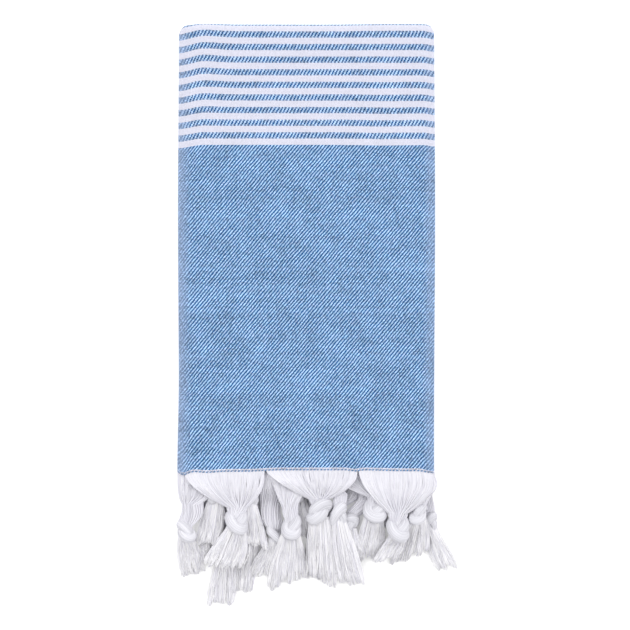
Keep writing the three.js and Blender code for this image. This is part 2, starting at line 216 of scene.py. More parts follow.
class Builder:
    """Collects points and faces of one mesh."""

    def __init__(self):
        self.points = []
        self.faces = []
        self.uvs = []
        self.count = 0

    def add_rings(self, rings, uvs, close_ends=True):
        """Rings of points, shape (rings, points, 3), joined into a tube."""
        rings = np.asarray(rings)
        steps, sides, _ = rings.shape
        index = self.count + np.arange(steps * sides).reshape(steps, sides)
        a = index[:-1]
        b = np.roll(a, -1, axis=1)
        c = index[1:]
        d = np.roll(c, -1, axis=1)
        self.faces += np.stack([a, c, d, b], axis=-1).reshape(-1, 4).tolist()
        if close_ends:
            self.faces.append(index[0].tolist())
            self.faces.append(index[-1][::-1].tolist())
        self.points.append(rings.reshape(-1, 3))
        self.uvs.append(np.asarray(uvs).reshape(-1, 2))
        self.count += steps * sides

    def add_yarns(self, paths, radii, sides=3):
        """Thin tubes along paths of shape (yarns, steps, 3), with radii of shape (yarns, steps)."""
        tangent = np.gradient(paths, axis=1)
        tangent /= np.linalg.norm(tangent, axis=2, keepdims=True) + 1e-9
        up = np.array([0.0, 0.0, 1.0])
        across = np.cross(tangent, up)
        across /= np.linalg.norm(across, axis=2, keepdims=True) + 1e-9
        above = np.cross(across, tangent)
        angles = 2 * np.pi * np.arange(sides) / sides + np.pi / 6
        rings = (
            paths[:, :, None]
            + radii[:, :, None, None] * np.cos(angles)[None, None, :, None] * across[:, :, None]
            + radii[:, :, None, None] * np.sin(angles)[None, None, :, None] * above[:, :, None]
        )
        yarns, steps = radii.shape
        index = self.count + np.arange(yarns * steps * sides).reshape(yarns, steps, sides)
        a = index[:, :-1]
        b = np.roll(a, -1, axis=2)
        c = index[:, 1:]
        d = np.roll(c, -1, axis=2)
        self.faces += np.stack([a, c, d, b], axis=-1).reshape(-1, 4).tolist()
        self.faces += index[:, 0].tolist()
        self.faces += index[:, -1, ::-1].tolist()
        self.points.append(rings.reshape(-1, 3))
        strand = np.broadcast_to(rng.uniform(0, 40, (yarns, 1, 1)), (yarns, steps, sides))
        along = np.broadcast_to(np.linspace(0, 1, steps)[None, :, None], (yarns, steps, sides))
        self.uvs.append(np.stack([strand, along], axis=-1).reshape(-1, 2))
        self.count += yarns * steps * sides

    def make(self, name):
        """The mesh, with nothing below the floor."""
        points = np.concatenate(self.points)
        points[:, 2] = np.maximum(points[:, 2], 0)
        return make_object(name, points, self.faces, np.concatenate(self.uvs))


# Materials

def node(tree, kind, **settings):
    made = tree.nodes.new(kind)
    for key, value in settings.items():
        setattr(made, key, value)
    return made


def math_node(tree, operation, a, b=None, c=None):
    made = node(tree, "ShaderNodeMath", operation=operation)
    for socket, value in zip(made.inputs, (a, b, c)):
        if value is None:
            continue
        if isinstance(value, (int, float)):
            socket.default_value = value
        else:
            tree.links.new(value, socket)
    return made.outputs[0]


def mix_colour(tree, factor, a, b, blend="MIX"):
    made = node(tree, "ShaderNodeMix", data_type="RGBA", blend_type=blend)
    for socket, value in ((made.inputs[0], factor), (made.inputs[6], a), (made.inputs[7], b)):
        if isinstance(value, (int, float, tuple)):
            socket.default_value = value
        else:
            tree.links.new(value, socket)
    return made.outputs[2]


def new_material(name):
    material = bpy.data.materials.new(name)
    material.use_nodes = True
    tree = material.node_tree
    return material, tree, tree.nodes["Principled BSDF"]


BLUE_YARN = (0.003, 0.071, 0.225, 1)
TINTED_YARN = (0.35, 0.555, 0.79, 1)
WHITE_YARN = (0.635, 0.64, 0.745, 1)
PALE_YARN = (0.41, 0.55, 0.81, 1)
DOT_YARN = (0.09, 0.25, 0.52, 1)
# The pale lavender of the painted sheen at the side folds
FOLD_SHEEN = (0.25, 0.33, 0.50, 1)


def cloth_material():
    """Twill of white warp and blue weft, its cells counted in yarns on the flat cloth."""
    material, tree, shader = new_material("towel twill")
    link = tree.links.new
    uv = node(tree, "ShaderNodeUVMap", uv_map="UVMap")
    split = node(tree, "ShaderNodeSeparateXYZ")
    link(uv.outputs[0], split.inputs[0])

    def wander(scale, seed, amount):
        moved = node(tree, "ShaderNodeVectorMath", operation="ADD")
        link(uv.outputs[0], moved.inputs[0])
        moved.inputs[1].default_value = (seed, seed * 0.7, 0)
        noise = node(tree, "ShaderNodeTexNoise")
        noise.inputs["Scale"].default_value = scale
        noise.inputs["Detail"].default_value = 2
        link(moved.outputs[0], noise.inputs["Vector"])
        centred = math_node(tree, "SUBTRACT", noise.outputs[0], 0.5)
        return math_node(tree, "MULTIPLY", centred, amount)

    # The weft is counted from the nearer end. Picks are thicker among the stripes.
    far_end = math_node(tree, "SUBTRACT", FLAT_LENGTH * MM, split.outputs[1])
    from_end = math_node(tree, "MINIMUM", split.outputs[1], far_end)
    stripes_start = (STRIPE_TOP - (2 * STRIPES - 1) * STRIPE_WIDTH) * MM
    beyond = math_node(tree, "SUBTRACT", from_end, stripes_start)
    beyond = math_node(tree, "ADD", beyond, wander(45, 5.2, 0.6 * MM))
    beyond = math_node(tree, "ADD", beyond, wander(430, 8.3, 0.9 * MM))
    stripe_picks = math_node(tree, "DIVIDE", beyond, STRIPE_WIDTH / STRIPE_PICKS * MM)
    plain_picks = math_node(tree, "DIVIDE", from_end, WEFT_PITCH * MM)
    striped = math_node(tree, "GREATER_THAN", beyond, 0.0)
    weft_mix = node(tree, "ShaderNodeMix", data_type="FLOAT")
    link(striped, weft_mix.inputs[0])
    link(plain_picks, weft_mix.inputs[2])
    link(stripe_picks, weft_mix.inputs[3])
    warp = math_node(tree, "DIVIDE", split.outputs[0], WARP_PITCH * MM)
    warp = math_node(tree, "ADD", warp, wander(60, 3.1, 2.4))
    warp = math_node(tree, "ADD", warp, wander(420, 1.7, 1.1))
    weft = math_node(tree, "ADD", weft_mix.outputs[0], wander(420, 9.4, 0.5))
    warp_yarn = math_node(tree, "FLOOR", warp)
    weft_yarn = math_node(tree, "FLOOR", weft)
    warp_in = math_node(tree, "FRACT", warp)
    weft_in = math_node(tree, "FRACT", weft)
    step = math_node(tree, "SUBTRACT", warp_yarn, weft_yarn)
    place = math_node(tree, "FLOORED_MODULO", step, TWILL_REPEAT)
    twill_over = math_node(tree, "LESS_THAN", place, TWILL_REPEAT / 2 - 0.5)
    dots_over = math_node(tree, "LESS_THAN", place, 1.5)
    last_picks = math_node(tree, "LESS_THAN", from_end, 2.7 * MM)
    last_pick = math_node(tree, "LESS_THAN", from_end, 1.5 * MM)
    edge_over = math_node(tree, "MULTIPLY", dots_over, last_pick)
    over_mix = node(tree, "ShaderNodeMix", data_type="FLOAT")
    link(last_picks, over_mix.inputs[0])
    link(twill_over, over_mix.inputs[2])
    link(edge_over, over_mix.inputs[3])
    weft_over = over_mix.outputs[0]

    # Stripes: bands of white picks between bands of blue
    in_band = math_node(tree, "FLOORED_MODULO", weft_yarn, 2 * STRIPE_PICKS)
    white_band = math_node(tree, "LESS_THAN", in_band, STRIPE_PICKS - 0.5)
    before_top = math_node(tree, "LESS_THAN", weft_yarn, (2 * STRIPES - 1) * STRIPE_PICKS - 0.5)
    among = math_node(tree, "MULTIPLY", striped, before_top)
    white_weft = math_node(tree, "MULTIPLY", white_band, among)

    cell = node(tree, "ShaderNodeCombineXYZ")
    link(warp_yarn, cell.inputs[0])
    link(weft_yarn, cell.inputs[1])
    speck = node(tree, "ShaderNodeTexWhiteNoise", noise_dimensions="2D")
    link(cell.outputs[0], speck.inputs[0])
    pick_noise = node(tree, "ShaderNodeTexWhiteNoise", noise_dimensions="1D")
    link(weft_yarn, pick_noise.inputs[1])

    # The tint of the light warp wavers, and it is paler among the stripes
    untinted = math_node(tree, "MAXIMUM", math_node(tree, "MULTIPLY", among, 0.16), white_weft)
    untinted = math_node(tree, "MAXIMUM", untinted, last_picks)
    wavering = math_node(tree, "ADD", wander(230, 7.7, 3.0), 0.35)
    tint = mix_colour(tree, wavering, TINTED_YARN, PALE_YARN)
    warp_colour = mix_colour(tree, untinted, tint, WHITE_YARN)
    from_middle = math_node(tree, "SUBTRACT", in_band, 1.5 * STRIPE_PICKS - 0.5)
    end_pick = math_node(tree, "ABSOLUTE", from_middle)
    end_pick = math_node(tree, "GREATER_THAN", end_pick, STRIPE_PICKS / 2 - 1)
    end_pick = math_node(tree, "MULTIPLY", end_pick, among)
    lighter = math_node(tree, "MAXIMUM", white_weft, math_node(tree, "MULTIPLY", end_pick, 0.14))
    weft_colour = mix_colour(tree, lighter, BLUE_YARN, WHITE_YARN)
    weft_colour = mix_colour(tree, last_picks, weft_colour, DOT_YARN)
    colour = mix_colour(tree, weft_over, warp_colour, weft_colour)

    # Painted sheen: paler where the cloth turns under at its left and right side, standing in for
    # grazing light on the fuzz: reach in millimetres, and strength
    def near_fold(place, reach, strength):
        away = math_node(tree, "ABSOLUTE", math_node(tree, "SUBTRACT", split.outputs[0], place * MM))
        sheen_ramp = node(tree, "ShaderNodeMapRange", interpolation_type="SMOOTHSTEP")
        sheen_ramp.inputs["From Min"].default_value = reach * MM
        sheen_ramp.inputs["From Max"].default_value = 1 * MM
        sheen_ramp.inputs["To Max"].default_value = strength
        link(away, sheen_ramp.inputs["Value"])
        return sheen_ramp.outputs[0]

    # Painted sheen: how much of the pale colour is mixed in near the left and the right fold
    sheen_left = near_fold(FLAT_WIDTH / 4, 17, 0.76)
    sheen_right = near_fold(FLAT_WIDTH / 2, 9, 0.45)
    sheen_share = math_node(tree, "ADD", sheen_left, sheen_right)
    sheen_share = math_node(tree, "MULTIPLY", sheen_share, math_node(tree, "SUBTRACT", 1.0, white_weft))
    colour = mix_colour(tree, sheen_share, colour, FOLD_SHEEN)
    blueness = math_node(tree, "SUBTRACT", 1.0, white_weft)
    uneven = math_node(tree, "MULTIPLY", math_node(tree, "SUBTRACT", speck.outputs[0], 0.5), 0.7)
    uneven = math_node(tree, "ADD", uneven, wander(38, 12.9, 0.5))
    uneven = math_node(tree, "ADD", uneven, wander(9, 4.4, 0.14))
    pick_tone = math_node(tree, "MULTIPLY_ADD", pick_noise.outputs[0], 0.16, -0.08)
    uneven = math_node(tree, "ADD", uneven, pick_tone)
    uneven = math_node(tree, "MULTIPLY", uneven, math_node(tree, "MULTIPLY_ADD", blueness, 0.85, 0.15))
    tone = math_node(tree, "ADD", uneven, 1.0)
    shade = node(tree, "ShaderNodeCombineColor")
    for socket in shade.inputs:
        link(tone, socket)
    colour = mix_colour(tree, 1.0, colour, shade.outputs[0], "MULTIPLY")
    link(colour, shader.inputs["Base Color"])

    # Rounded yarns: across the yarn that lies on top of each cell
    def crown(fraction):
        centred = math_node(tree, "MULTIPLY_ADD", fraction, 2.0, -1.0)
        return math_node(tree, "SUBTRACT", 1.0, math_node(tree, "MULTIPLY", centred, centred))

    over = node(tree, "ShaderNodeMix", data_type="FLOAT")
    link(weft_over, over.inputs[0])
    link(crown(warp_in), over.inputs[2])
    link(crown(weft_in), over.inputs[3])
    bump = node(tree, "ShaderNodeBump")
    bump.inputs["Strength"].default_value = 0.6
    bump.inputs["Distance"].default_value = 0.25 * MM
    link(over.outputs[0], bump.inputs["Height"])
    link(bump.outputs[0], shader.inputs["Normal"])
    shader.inputs["Roughness"].default_value = 0.92
    shader.inputs["Sheen Weight"].default_value = 0.25
    shader.inputs["Sheen Roughness"].default_value = 0.5
    shader.inputs["Sheen Tint"].default_value = (0.95, 0.96, 1.0, 1)
    shader.inputs["Specular IOR Level"].default_value = 0.2
    return material


def yarn_material(name, dark, light, lift, through):
    """Loose white cotton, its strands a little uneven in tone. lift and through make it soft."""
    material, tree, shader = new_material(name)
    link = tree.links.new
    uv = node(tree, "ShaderNodeUVMap", uv_map="UVMap")
    strands = node(tree, "ShaderNodeTexNoise", noise_dimensions="2D")
    strands.inputs["Scale"].default_value = 1.7
    strands.inputs["Detail"].default_value = 3
    link(uv.outputs[0], strands.inputs["Vector"])
    sharper = node(tree, "ShaderNodeMapRange")
    sharper.inputs["From Min"].default_value = 0.3
    sharper.inputs["From Max"].default_value = 0.6
    link(strands.outputs[0], sharper.inputs["Value"])
    colour = mix_colour(tree, sharper.outputs[0], dark, light)
    link(colour, shader.inputs["Base Color"])
    place = node(tree, "ShaderNodeTexCoord")
    fine = node(tree, "ShaderNodeTexNoise")
    fine.inputs["Scale"].default_value = 2200
    link(place.outputs["Object"], fine.inputs["Vector"])
    grain = math_node(tree, "ADD", fine.outputs[0], math_node(tree, "MULTIPLY", strands.outputs[0], 2.0))
    bump = node(tree, "ShaderNodeBump")
    bump.inputs["Strength"].default_value = 0.4
    bump.inputs["Distance"].default_value = 0.25 * MM
    link(grain, bump.inputs["Height"])
    lifted = node(tree, "ShaderNodeVectorMath", operation="ADD")
    link(bump.outputs[0], lifted.inputs[0])
    lifted.inputs[1].default_value = (0, 0, lift)
    soft = node(tree, "ShaderNodeVectorMath", operation="NORMALIZE")
    link(lifted.outputs[0], soft.inputs[0])
    link(soft.outputs[0], shader.inputs["Normal"])
    shader.inputs["Roughness"].default_value = 0.95
    shader.inputs["Sheen Weight"].default_value = 0.15
    shader.inputs["Specular IOR Level"].default_value = 0.15
    glow = node(tree, "ShaderNodeBsdfTranslucent")
    link(colour, glow.inputs[0])
    blend = node(tree, "ShaderNodeMixShader")
    blend.inputs[0].default_value = through
    link(shader.outputs[0], blend.inputs[1])
    link(glow.outputs[0], blend.inputs[2])
    link(blend.outputs[0], tree.nodes["Material Output"].inputs["Surface"])
    return material


# The cloth

def arc(x, y, radius, start, stop, steps):
    """Points on an arc from one angle to another, in degrees."""
    angles = np.radians(np.linspace(start, stop, steps + 1))
    return np.stack([x + radius * np.cos(angles), y + radius * np.sin(angles)], axis=1)


FRONT_STEPS = 68
HIDDEN_STEPS = 18
FOLD_EASE = 0.8  # from the end of a flat run to the fold's arc


def across_line(front_steps, hidden_steps):
    """The middle line of the cloth across a deck, and the distance of each point along it."""
    round_radius = MIDDLE_LAYER * LAYER_PITCH
    tight_radius = 0.5 * LAYER_PITCH
    left_fold = -WIDTH / 2 + CLOTH / 2 + round_radius
    right_fold = WIDTH / 2 - CLOTH / 2 - tight_radius

    def layer(number, start, stop, steps):
        xs = np.linspace(start, stop, steps + 1)
        return np.stack([xs, np.full(steps + 1, layer_offset(number))], axis=1)

    parts = [
        layer(3, WIDTH / 2 - 3, left_fold + FOLD_EASE, hidden_steps),
        arc(left_fold, 0, round_radius, 270, 90, 8),
        layer(0, left_fold + FOLD_EASE, right_fold - FOLD_EASE, front_steps),
        arc(right_fold, LAYER_PITCH, tight_radius, 90, -90, 6),
        layer(1, right_fold - FOLD_EASE, left_fold + FOLD_EASE, hidden_steps),
        arc(left_fold, 0, tight_radius, 90, 270, 6),
        layer(2, left_fold + FOLD_EASE, WIDTH / 2 - 4.5, hidden_steps),
    ]
    line = np.concatenate(parts)
    steps = np.linalg.norm(np.diff(line, axis=0), axis=1)
    along = np.concatenate([[0], np.cumsum(steps)])
    return line, along * FLAT_WIDTH / along[-1]


def ribbon_outline(line):
    """Both faces of the cloth, half its thickness to each side of the line."""
    before = np.concatenate([line[:1], line[:-1]])
    after = np.concatenate([line[1:], line[-1:]])
    way = after - before
    way /= np.linalg.norm(way, axis=1, keepdims=True)
    normal = np.stack([-way[:, 1], way[:, 0]], axis=1) * CLOTH / 2
    return np.concatenate([line + normal, (line - normal)[::-1]])


def along_rows():
    """Place, facing and width of the strip along its length, as in the solids but finer."""
    outer_y = LENGTH / 2 - DECK_HALF - OUTER_TURN_RADIUS
    inner_radius = DECK_PITCH / 2
    inner_y = LENGTH / 2 - 3 * DECK_HALF - inner_radius - INNER_TURN_CLEARANCE
    hidden_y = -LENGTH / 2 + HIDDEN_TURN_BACK + DECK_HALF + inner_radius
    rows = []

    def run(deck, facing, start, stop, steps):
        for y in np.linspace(start, stop, steps + 1):
            rows.append((y, deck_height(deck), 0.0, facing, DECK_WIDTHS[deck]))

    def turn(y, z, radius, start, stop, steps, facing, widths):
        for i, (cy, cz) in enumerate(arc(0, 0, radius, start, stop, steps)[1:-1]):
            width = lerp(widths[0], widths[1], (i + 1) / steps)
            rows.append((y + cy, z + cz, facing * cy / radius, facing * cz / radius, width))

    upright = (DECK_WIDTHS[3] + DECK_WIDTHS[0]) / 2
    upper_z = deck_height(3) - OUTER_TURN_RADIUS
    lower_z = deck_height(0) + OUTER_TURN_RADIUS
    run(3, 1.0, -LENGTH / 2, outer_y, 104)
    turn(outer_y, upper_z, OUTER_TURN_RADIUS, 90, 0, 8, 1, (DECK_WIDTHS[3], upright))
    for share in (0.0, 0.25, 0.5, 0.75, 1.0):
        rows.append((outer_y + OUTER_TURN_RADIUS, lerp(upper_z, lower_z, share), 1.0, 0.0, upright))
    turn(outer_y, lower_z, OUTER_TURN_RADIUS, 0, -90, 8, 1, (upright, DECK_WIDTHS[0]))
    run(0, -1.0, outer_y, hidden_y, 22)
    turn(hidden_y, deck_height(0.5), inner_radius, 270, 90, 8, 1, DECK_WIDTHS[0:2])
    run(1, 1.0, hidden_y, inner_y, 10)
    turn(inner_y, deck_height(1.5), inner_radius, -90, 90, 6, -1, DECK_WIDTHS[1:3])
    run(2, -1.0, inner_y, -LENGTH / 2, 16)
    return np.array(rows)


def hump(x, place, half_width, depth):
    return depth * np.exp(-((x - place) / half_width) ** 2)


def ramps(x, rows):
    return sum(depth * smoothstep(side * x, start, stop) for side, start, stop, depth in rows)


def ease_cloth(x, y, z):
    """What the solid leaves out: soft hollows, rounded side edges and an uneven edge at the fringe."""
    top = np.clip(z / TOP_HEIGHT, 0, 1) ** 3
    lift = 0.22 * np.sin(x / 17 + 0.6 * np.sin(y / 29)) * np.sin(y / 23 + 1.3)
    lift += 0.14 * np.sin(x / 9.5 + y / 31 + 2.0) * np.cos(y / 13 - x / 41)
    lift -= hump(x, *CREASE) * smoothstep(-y, 198, 214)
    shoulder = smoothstep(np.abs(x), WIDTH / 2 - SHOULDER, WIDTH / 2)
    drop = SHOULDER_DROP * z * shoulder ** 1.5
    near_fringe = smoothstep(-y, 150, LENGTH / 2)
    edge_dip = EDGE_DIP + ramps(x, EDGE_RAMPS) + sum(hump(x, *row) for row in EDGE_HUMPS)
    among_stripes = smoothstep(y, 40, 100)
    stripe_dip = ramps(x, STRIPE_RAMPS)
    stripe_dip += hump(x, 75, 28, 0.6) * (1 - smoothstep(y, 120, 190))
    stripe_dip -= hump(x, -99, 17, 1.8) * smoothstep(y, 90, 190)
    stripe_dip -= ramps(x, ((1, 10, 90, 0.9),)) * smoothstep(y, 200, 217)
    dip = near_fringe * top * edge_dip + among_stripes * top * stripe_dip
    out = LEFT_SWELL * smoothstep(-x, 80, 125) * smoothstep(-y, 120, 217)
    return x - out, y - dip, z + lift * top - drop


def build_cloth():
    line, across = across_line(FRONT_STEPS, HIDDEN_STEPS)
    section = ribbon_outline(line)
    u = np.concatenate([across, across[::-1]])
    rows = along_rows()
    front = rows[:, :2] + layer_offset(0) * rows[:, 2:4]
    v = np.concatenate([[0], np.cumsum(np.linalg.norm(np.diff(front, axis=0), axis=1))])
    y, z, ny, nz, width = (rows[:, i, None] for i in range(5))
    x = section[None, :, 0] * width
    raw_y = y + section[None, :, 1] * ny
    raw_z = z + section[None, :, 1] * nz
    x, yy, zz = settle(x, raw_y, raw_z)
    rings = np.stack(ease_cloth(x, yy, zz), axis=-1)
    steps, sides, _ = rings.shape
    uv = np.stack(np.broadcast_arrays(u[None, :], v[:, None]), axis=-1)
    builder = Builder()
    builder.add_rings(rings, uv * MM, close_ends=False)
    half = sides // 2
    for ring, flip in ((0, True), (steps - 1, False)):
        base = ring * sides
        for i in range(half - 1):
            quad = [base + i, base + i + 1, base + sides - 2 - i, base + sides - 1 - i]
            builder.faces.append(quad if flip else quad[::-1])
    return builder.make("towel_sheet")


# The knots

def resample(line, count):
    """The same line with points at even distances."""
    steps = np.linalg.norm(np.diff(line, axis=0), axis=1)
    along = np.concatenate([[0], np.cumsum(steps)])
    wanted = np.linspace(0, along[-1], count)
    return np.stack([np.interp(wanted, along, line[:, i]) for i in range(3)], axis=1)


def tight_overhand(count=110, rounds=2200):
    """The middle line of a pulled-tight overhand knot, its cord one unit thick and its ends along x."""
    t = np.linspace(math.pi + 0.6, 3 * math.pi - 0.6, 100)
    loop = np.stack([
        np.sin(t) + 2 * np.sin(2 * t),
        np.cos(t) - 2 * np.cos(2 * t),
        -1.2 * np.sin(3 * t),
    ], axis=1)
    first = np.linspace((7.5, -3.0, 0.0), (1.3, -2.6, 0.8), 20)
    last = np.linspace((-1.3, -2.6, -0.8), (-7.5, -3.0, 0.0), 20)
    line = resample(np.concatenate([first, loop, last]), count)
    anchors = np.array([(7.5, 0.0, 0.0), (-7.5, 0.0, 0.0)])
    index = np.arange(count)
    between = np.abs(index[:, None] - index[None, :])
    length = np.linalg.norm(np.diff(line, axis=0), axis=1).mean()
    for _ in range(rounds):
        stretch = np.linalg.norm(np.diff(line, axis=0), axis=1).mean() / length
        if stretch < 1.01:
            length *= 0.9985
        gap = line[:, None] - line[None, :]
        distance = np.linalg.norm(gap, axis=2) + 1e-9
        touching = (distance < 1.0) & (between * length > 1.5)
        push = np.where(touching, (1.0 - distance) / distance * 0.3, 0.0)
        line = line + (push[:, :, None] * gap).sum(axis=1)
        for _ in range(3):
            line[1:-1] += 0.12 * ((line[:-2] + line[2:]) / 2 - line[1:-1])
            for parity in (0, 1):
                a = line[parity:-1:2]
                b = line[parity + 1::2]
                a = a[:len(b)]
                way = b - a
                size = np.linalg.norm(way, axis=1, keepdims=True) + 1e-9
                fix = way / size * (size - length) * 0.5
                a += fix
                b -= fix
            line[[0, -1]] += (anchors - line[[0, -1]]) * 0.3
    return line


def tube_frames(line):
    """Two directions across a line, carried along it without twisting."""
    way = np.gradient(line, axis=0)
    way /= np.linalg.norm(way, axis=1, keepdims=True)
    first = np.cross(way[0], (0.0, 0.3, 1.0))
    first /= np.linalg.norm(first)
    sides = [first]
    for step in way[1:]:
        side = sides[-1] - step * np.dot(step, sides[-1])
        sides.append(side / np.linalg.norm(side))
    sides = np.array(sides)
    return sides, np.cross(way, sides)


def knot_rings(line, t, level):
    """The cord of the knot as a fluted tube, fitted to the knot's own width, length and height."""
    shows = t["shows"]
    inside = line[np.abs(line[:, 0]) < 1.9]
    inside = resample(inside, 66 if shows else 44)
    roll = math.radians(t["roll"])
    turn = np.array([
        (1.0, 0.0, 0.0),
        (0.0, math.cos(roll), -math.sin(roll)),
        (0.0, math.sin(roll), math.cos(roll)),
    ])
    inside = inside @ turn.T
    inside[:, 1] *= t["lean"]
    side, above = tube_frames(inside)
    flutes = KNOT_FLUTES if shows else HIDDEN_KNOT_FLUTES
    angle = 2 * np.pi * np.arange(2 * flutes) / (2 * flutes)
    share = np.linspace(0, 1, len(inside))
    fat = KNOT_FAT * (1 - 0.55 * (1 - smoothstep(share, 0, 0.12)) - 0.55 * smoothstep(share, 0.88, 1))
    depth = np.repeat(rng.uniform(0.2, 1.0, flutes), 2) * np.tile((-1, 0.4), flutes)
    radius = fat[:, None] * (1 + 0.11 * depth[None, :])
    rings = (
        inside[:, None]
        + (radius * np.cos(angle))[:, :, None] * side[:, None]
        + (radius * np.sin(angle))[:, :, None] * above[:, None]
    )
    reach = 1.0 + KNOT_FAT
    height = level["top"] - level["bottom"]
    middle = (level["top"] + level["bottom"]) / 2
    strand = np.broadcast_to(np.linspace(0, 40, 2 * flutes), rings.shape[:2])
    along = np.broadcast_to(share[:, None] * 2, rings.shape[:2])
    placed = np.stack([
        t["knot_x"] + rings[:, :, 1] * t["knot_width"] / (2 * reach),
        EDGE - t["knot_out"] + rings[:, :, 0] * t["knot_length"] / (2 * reach),
        middle + rings[:, :, 2] * height / (2 * reach),
    ], axis=-1)
    return placed, np.stack([strand, along], axis=-1)


# The yarns

def edge_height(layer, x):
    """The height of a layer at the cloth's edge. The deck under the top one lies face down."""
    if layer < LAYERS:
        middle = deck_height(3) + layer_offset(layer)
    else:
        middle = deck_height(2) - layer_offset(2 * LAYERS - 1 - layer)
    return settle(x, EDGE, middle)[2]


def disc_places(count):
    """Evenly spread places in a round bundle, in the order of their first coordinate."""
    index = np.arange(count) + 0.5
    radius = np.sqrt(index / count)
    angle = index * math.pi * (3 - math.sqrt(5))
    places = np.stack([radius * np.cos(angle), radius * np.sin(angle)], axis=1)
    return places[np.argsort(places[:, 0])]


def slow_noise(count, steps, amount, waves=2):
    """Smooth seeded wavering of each yarn along its length."""
    s = np.linspace(0, 1, steps)
    out = np.zeros((count, steps))
    for k in range(1, waves + 1):
        phase = rng.uniform(0, 2 * math.pi, (count, 1))
        size = rng.normal(0, amount / k, (count, 1))
        out += size * np.sin(2 * math.pi * k * s[None, :] * rng.uniform(0.6, 1.2, (count, 1)) + phase)
    return out


def fan_paths(t, level):
    """Yarns from the cloth's edge, gathered into a rope that runs into the knot."""
    shows = t["shows"]
    count = FAN_YARNS if shows else HIDDEN_FAN_YARNS
    fan_steps = 14 if shows else 7
    rope_steps = 6 if shows else 4
    left, right = FAN_SPANS.get(t["layer"], OTHER_FAN_SPANS)[t["third"]]
    knot_z = (level["bottom"] + level["top"]) / 2
    places = disc_places(count)
    across = (np.arange(count) + 0.5) / count
    edge_x = lerp(left, right, across) + rng.normal(0, 0.12, count)
    edge_x, edge_y, edge_z = ease_cloth(edge_x, EDGE, edge_height(t["layer"], edge_x))
    s = np.linspace(0, 1, fan_steps)[None, :]
    bow = lerp(t["bow"][0], t["bow"][1], across)[:, None]
    gathered = np.where(bow > 1, s ** bow, 1 - (1 - s) ** (1 / bow))
    rope_x = t["gather_x"] + places[:, 0] * t["rope"] / 2
    x = lerp(edge_x[:, None], rope_x[:, None], gathered)
    x += slow_noise(count, fan_steps, FAN_WAVER) * np.sin(np.pi * s)
    if (t["third"], t["layer"]) == (2, 0):
        x += THIRD_FAN_BULGE * (across ** 4)[:, None] * np.sin(np.pi * np.minimum(1, s * 1.5))
    y = lerp(edge_y[:, None] + 0.3, EDGE - t["gather"], s)
    sunk = smoothstep(s, level["sink"], level["sink"] + 0.9)
    sunk = sunk / sunk[0, -1]
    middle = lerp(edge_z[:, None], knot_z, sunk) + level["arch"] * np.sin(np.pi * s)
    height = lerp(0.15, level["rope"] - 1, s ** level["thicken"])
    z = middle + places[:, 1, None] * height / 2

    # the rope, and its end inside the knot
    neck = t["knot_out"] - t["knot_length"] / 2
    inside = t["knot_out"] - t["knot_length"] * 0.1
    out = np.linspace(t["gather"], inside, rope_steps + 1)[None, 1:]
    shift = smoothstep(out, lerp(t["gather"], neck, 0.3), inside)
    tuck = smoothstep(out, neck - 2, inside)
    half_wide = lerp(t["rope"] / 2, t["knot_width"] * 0.22, tuck)
    half_high = lerp((level["rope"] - 1) / 2, (level["top"] - level["bottom"]) * 0.1, tuck)
    twist = 0.5 * t["lean"] * (out - t["gather"]) / (inside - t["gather"])
    px, pz = places[:, 0, None], places[:, 1, None]
    rope = np.stack([
        lerp(t["gather_x"], t["knot_x"], shift) + (px * np.cos(twist) - pz * np.sin(twist)) * half_wide,
        np.broadcast_to(EDGE - out, (count, rope_steps)),
        knot_z + (px * np.sin(twist) + pz * np.cos(twist)) * half_high,
    ], axis=-1)
    fan = np.stack([x, np.broadcast_to(y, x.shape), z], axis=-1)
    paths = np.concatenate([fan, rope], axis=1)
    radii = np.full(paths.shape[:2], FAN_YARN if shows else FAN_YARN * 1.45)
    filling = 0.75 * math.sqrt(math.pi * t["rope"] * level["rope"] / 4 / count)
    grown = np.concatenate([s[0] ** 3, np.ones(rope_steps)])[None, :]
    return paths, lerp(radii, max(filling, radii[0, 0]), grown)


